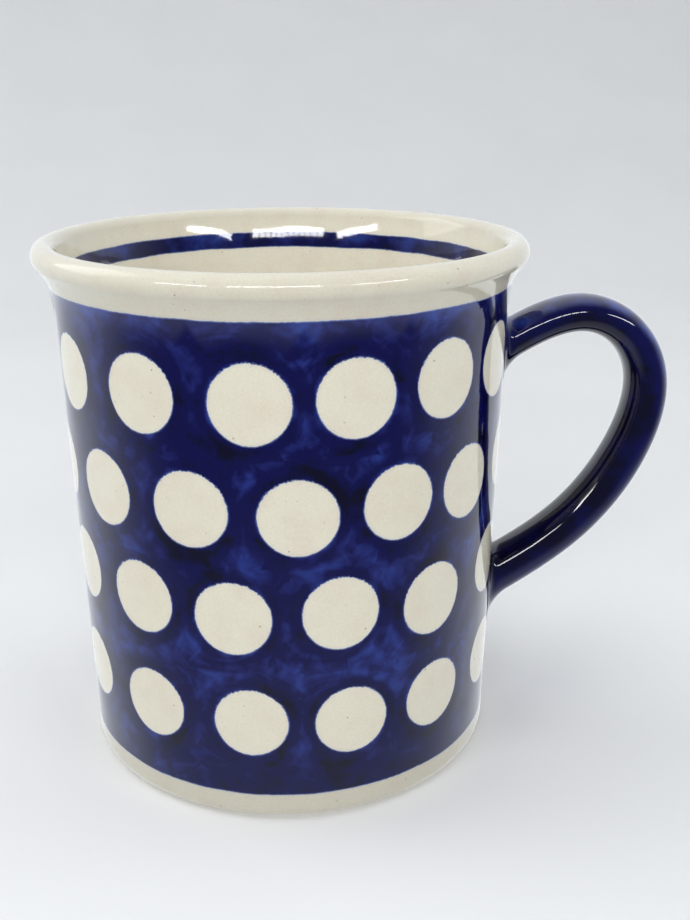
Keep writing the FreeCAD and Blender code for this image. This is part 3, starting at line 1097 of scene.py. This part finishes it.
    def _finish(self, mesh: Mesh) -> None:
        """Point the faces outwards and give the glazed side its true normals."""
        turn_outwards(mesh)
        shape = self.shape
        on_face = {}
        for vertex in mesh.vertices:
            radius = math.hypot(vertex.co.x, vertex.co.y)
            if abs(radius - shape.radius_at(vertex.co.z)) < 0.5 * shape.coat:
                on_face[vertex.index] = shape.wall_normal(vertex.co)
        exact_normals(mesh, lambda vertex: on_face.get(vertex))


# --------------------------------------------------------------------- handle

@dataclass
class Handle:
    """The ear-shaped strap, swept along its centre line and eased into the wall."""

    shape: CupShape
    reach: float = 30.0 * MM
    low: float = 25.2 * MM
    high: float = 86.9 * MM
    poles: tuple[Pair, ...] = (
        (-0.150, 0.800), (0.160, 0.905), (0.560, 0.995), (0.985, 0.825),
        (0.995, 0.575), (0.600, 0.225), (0.055, 0.078), (-0.177, 0.010))
    half_width: float = 5.2 * MM
    thickness: tuple[Pair, ...] = ((0.0, 3.5), (0.2, 3.5), (0.5, 4.1), (0.85, 4.4), (1.0, 4.8))
    squareness: float = 2.3
    fillet: float = 2.4 * MM
    under_fillet: float = 1.9       # how much wider the easing is below the strap
    buried: float = 1.5 * MM
    tip: float = 0.004              # share of the length in which each end closes
    stations: int = 300
    around: int = 64

    def _centre_line(self) -> Object:
        """The centre line as a smooth spline through the frame's own poles."""
        curve = bpy.data.curves.new("handle_line", "CURVE")
        curve.dimensions = "3D"
        curve.resolution_u = 40
        spline = curve.splines.new("NURBS")
        spline.points.add(len(self.poles) - 1)
        for point, (out, up) in zip(spline.points, self.poles):
            height = self.low + up * (self.high - self.low)
            wall = self.shape.radius_at(height)
            point.co = (wall + out * self.reach, 0.0, height, 1.0)
        spline.order_u = 4
        spline.use_endpoint_u = True
        return new_object("handle_line", curve)

    def _tree(self) -> NodeTree:
        """A geometry tree that sweeps a squarish oval along a line and into a wall."""
        graph, name = new_tree(
            "sweep_strap", Line="Geometry", Half_Width="Float", Fillet="Float", Buried="Float",
            Foot_Radius="Float", Lean="Float", Stations="Int", Around="Int", Finish="Material")
        grid = graph.geometry("MeshGrid", Size_X=1.0, Size_Y=1.0, Vertices_X=name["Stations"],
                              Vertices_Y=name["Around"])
        spot = graph.geometry("InputPosition")
        even = graph.part(spot, 0) + 0.5
        share = 0.5 - (even * math.pi).math("COSINE") * 0.5
        angle = (graph.part(spot, 1) + 0.5) * math.tau
        sample = graph.geometry("SampleCurve", "Position", Curves=name["Line"], Factor=share)
        tangent = Signal(graph, sample.socket.node.outputs["Tangent"])
        across = graph.join(graph.part(tangent, 2) * -1.0, 0.0, graph.part(tangent, 0))
        ends = even.ease(0.0, self.tip) * even.ease(1.0 - self.tip, 1.0, 1.0, 0.0)
        most = max(size for _, size in self.thickness)
        thick = graph.node("ShaderNodeFloatCurve", {
            "points": [(place, size / most) for place, size in self.thickness]}, {1: share})
        power, above_zero = 2.0 / self.squareness - 1.0, 1e-4
        wide = angle.math("SINE")
        deep = angle.math("COSINE")
        wide, deep = (part * (part.math("ABSOLUTE") + above_zero) ** power
                      for part in (wide, deep))
        offset = graph.vector("ADD", graph.vector("SCALE", across, deep * thick * ends * most * MM),
                              graph.join(0.0, wide * ends * name["Half Width"], 0.0))
        placed = graph.vector("ADD", sample, offset)
        height = graph.part(placed, 2)
        flat = graph.vector("MULTIPLY", placed, (1.0, 1.0, 0.0))
        distance = graph.vector("LENGTH", flat)
        wall = name["Foot Radius"] + height * name["Lean"]
        under = (graph.part(offset, 2) / (most * MM) * -1.0).ease(0.0, 1.0, 1.0, self.under_fillet)
        ease = name["Fillet"] * under
        gap = ((distance - wall) / ease).most(0.0).least(1.0)
        hollow = 1.0 - (1.0 - (1.0 - gap) * (1.0 - gap)).most(0.0).math("SQRT")
        outward = graph.vector("NORMALIZE", flat)
        on_wall = graph.vector("SUBTRACT", offset, graph.vector(
            "SCALE", outward, graph.vector("DOT_PRODUCT", offset, outward)))
        push = graph.vector("SCALE", graph.vector("NORMALIZE", on_wall),
                            hollow * ease * ends)
        eased = graph.vector("ADD", placed, push)
        flat = graph.vector("MULTIPLY", eased, (1.0, 1.0, 0.0))
        rise = graph.part(eased, 2)
        deepest = name["Foot Radius"] + rise * name["Lean"] - name["Buried"]
        grow = (deepest / graph.vector("LENGTH", flat)).most(1.0)
        kept = graph.vector("ADD", graph.vector("SCALE", flat, grow), graph.join(0.0, 0.0, rise))
        for label, value in (("ridge", deep), ("along", share)):
            grid = graph.geometry("StoreNamedAttribute", Geometry=grid, Name=label, Value=value)
        swept = graph.geometry("SetPosition", Geometry=grid, Position=kept)
        return end_tree(graph, swept, name["Finish"])

    def build(self) -> None:
        """Sweep the strap and finish it."""
        finish = Decoration(Side.HANDLE).material("handle_cobalt_glaze")
        shape = self.shape
        mesh = apply_tree(self._centre_line(), self._tree(), {
            "Half Width": self.half_width, "Fillet": self.fillet, "Buried": self.buried,
            "Foot Radius": shape.foot_radius, "Lean": shape.lean / shape.height,
            "Stations": self.stations, "Around": self.around, "Finish": finish})
        turn_outwards(mesh)
        settle(add_piece("handle_strap", mesh, finish), "cobalt",
               "handle", "handle_cobalt", "handle_glaze", "upper_slip_joint", "lower_slip_joint")


# ---------------------------------------------------------------------- stage

@dataclass(frozen=True)
class Studio:
    """A pale sweep, soft light and the camera."""

    eye: Vec3 = (0.0, -0.2059, 0.1265)
    down: float = math.radians(19.27)
    right: float = math.radians(3.19)
    roll: float = math.radians(-0.15)
    lens: float = 43.08
    floor_colour: Colour = (0.925, 0.935, 0.94, 1.0)
    bright: Colour = (1.02, 1.07, 1.12, 1.0)
    overhead: Colour = (1.55, 1.58, 1.60, 1.0)
    dim: Colour = (0.12, 0.13, 0.15, 1.0)
    backdrop: Colour = (0.64, 0.67, 0.70, 1.0)
    # each bank of windows: first and last turn, how many panes, their tilt and their glow
    windows: tuple[tuple[float, float, int, float, float], ...] = (
        (-58.0, -35.0, 1, -6.0, 30.0), (-25.0, 18.0, 12, 0.0, 26.0), (31.0, 58.0, 1, 6.0, 24.0))
    window_rise: float = 22.0
    window_height: float = 5.0
    wing_height: float = 3.0
    window_distance: float = 1.5
    window_base: float = 0.095
    pane_share: float = 0.75
    fill_place: Vec3 = (-0.9, 0.3, 0.7)
    fill_size: Pair = (0.7, 0.7)
    fill_power: float = 2.8
    aim: Vec3 = (0.0, 0.0, 0.05)

    def build(self) -> None:
        """Set the floor, the lights, the surroundings and the camera."""
        scene = bpy.context.scene
        scene.view_settings.view_transform = "Standard"
        scene.view_settings.look = "None"
        self._floor()
        self._surroundings()
        self._camera()

    def _floor(self) -> None:
        """A wide pale floor that curls up far behind the mug."""
        flat, bend, steps, wide, deep, top = 0.35, 0.9, 32, 3.0, 1.6, 3.0
        line = [(reach, 0.0) for reach in (-deep, -0.2, 0.1, flat)]
        line += [(flat + bend * math.sin(turn), bend * (1 - math.cos(turn)))
                 for turn in (math.pi / 2 * i / steps for i in range(1, steps + 1))]
        line += [(flat + bend, top)]
        points = [(side, reach, height) for reach, height in line for side in (-wide, wide)]
        faces = [(2 * k, 2 * k + 1, 2 * k + 3, 2 * k + 2) for k in range(len(line) - 1)]
        mesh = new_mesh("floor", points, faces)
        mesh.shade_smooth()
        made, graph = new_material("pale_paper")
        where = graph.object_place()
        cloud = graph.noise(where, 0.08, 2.0).ease(0.3, 0.7, 0.99, 1.01)
        # painted shade: the paper is painted darker towards the back
        far = graph.part(where, 1).ease(0.12, 0.42, 1.0, 0.965)
        # painted light: the paper is painted lighter to the right, lifting the mug's shadow
        aside = graph.part(where, 0).ease(-0.3, 0.3, 0.985, 1.035)
        tone = graph.vector("SCALE", self.floor_colour[:3], cloud * far * aside)
        graph.principled(Base_Color=tone, Roughness=0.9, Specular_IOR_Level=0.0)
        floor = add_piece("floor", mesh, made)
        floor.visible_glossy = False

    def _surroundings(self) -> None:
        """Bright soft surroundings that fade towards the front, and a bank of windows there."""
        world = bpy.data.worlds.new("studio")
        bpy.context.scene.world = world
        world.use_nodes = True
        graph = Graph(world.node_tree)
        way = graph.node("ShaderNodeTexCoord", None, None, "Generated")
        front = (graph.part(way, 1) * -1.0).ease(-0.45, 0.55)
        front = front * (graph.part(way, 2) * -1.0).ease(0.35, 0.75, 1.0, 0.35)
        seen = graph.node("ShaderNodeLightPath", None, None, "Is Camera Ray")
        above = graph.part(way, 2).ease(0.2, 0.9)
        glow = graph.blend(above, self.bright, self.overhead)
        glow = graph.blend(front, glow, self.dim)
        glow = graph.blend(seen, glow, self.backdrop)
        light = graph.node("ShaderNodeBackground", None, {"Color": glow, "Strength": 1.0})
        graph.node("ShaderNodeOutputWorld", None, {"Surface": light})
        for first, last, panes, tilt, power in self.windows:
            step = (last - first) / panes
            for i in range(panes):
                share = self.pane_share if panes > 1 else 1.0
                self._pane(first + step * (i + 0.5), step * share, tilt, power)
        self._soft_box("left_fill", self.fill_place, self.fill_size, self.fill_power)

    def _pane(self, turn: float, width: float, tilt: float, glow: float) -> None:
        """One bright pane behind the camera.

        Args:
            turn: its middle, in degrees from the front.
            width: its width in degrees.
            tilt: how far it leans over, in degrees.
            glow: its brightness.
        """
        far, rise = self.window_distance, math.radians(self.window_rise)
        aside = math.radians(turn)
        place = (far * math.cos(rise) * math.sin(aside),
                 -far * math.cos(rise) * math.cos(aside), far * math.sin(rise) + self.window_base)
        tall = self.wing_height if tilt else self.window_height
        size = (far * math.radians(width), far * math.radians(tall))
        self._soft_box("window", place, size, glow * math.pi * size[0] * size[1], tilt)

    def _soft_box(self, name: str, place: Vec3, size: Pair, power: float,
                  tilt: float = 0.0) -> None:
        """One rectangular light that looks at the mug's middle, leant over by tilt degrees."""
        lamp = bpy.data.lights.new(name, "AREA")
        lamp.shape = "RECTANGLE"
        lamp.size, lamp.size_y = size
        lamp.energy = power
        light = new_object(name, lamp)
        light.location = place
        way = Vector(self.aim) - Vector(place)
        lean = Quaternion((0.0, 0.0, 1.0), math.radians(tilt))
        light.rotation_euler = (way.to_track_quat("-Z", "Y") @ lean).to_euler()

    def _camera(self) -> None:
        """The camera, standing in front and looking down at the mug."""
        lens = bpy.data.cameras.new("camera")
        lens.sensor_width = 36.0
        lens.lens = self.lens
        lens.clip_start = 0.01
        camera = new_object("camera", lens)
        ahead = Vector((math.sin(self.right) * math.cos(self.down),
                        math.cos(self.right) * math.cos(self.down), -math.sin(self.down)))
        side = Vector((math.cos(self.right), -math.sin(self.right), 0.0))
        above = side.cross(ahead)
        side, above = (side * math.cos(self.roll) + above * math.sin(self.roll),
                       above * math.cos(self.roll) - side * math.sin(self.roll))
        turn = Matrix((side, above, -ahead)).transposed().to_4x4()
        camera.matrix_world = Matrix.Translation(self.eye) @ turn
        bpy.context.scene.camera = camera


def main() -> None:
    """Build every piece, then the stage."""
    shape = CupShape()
    Cup(shape).build()
    PaintedWall(shape).build()
    Handle(shape).build()
    Studio().build()


if __name__ == "__main__":
    main()
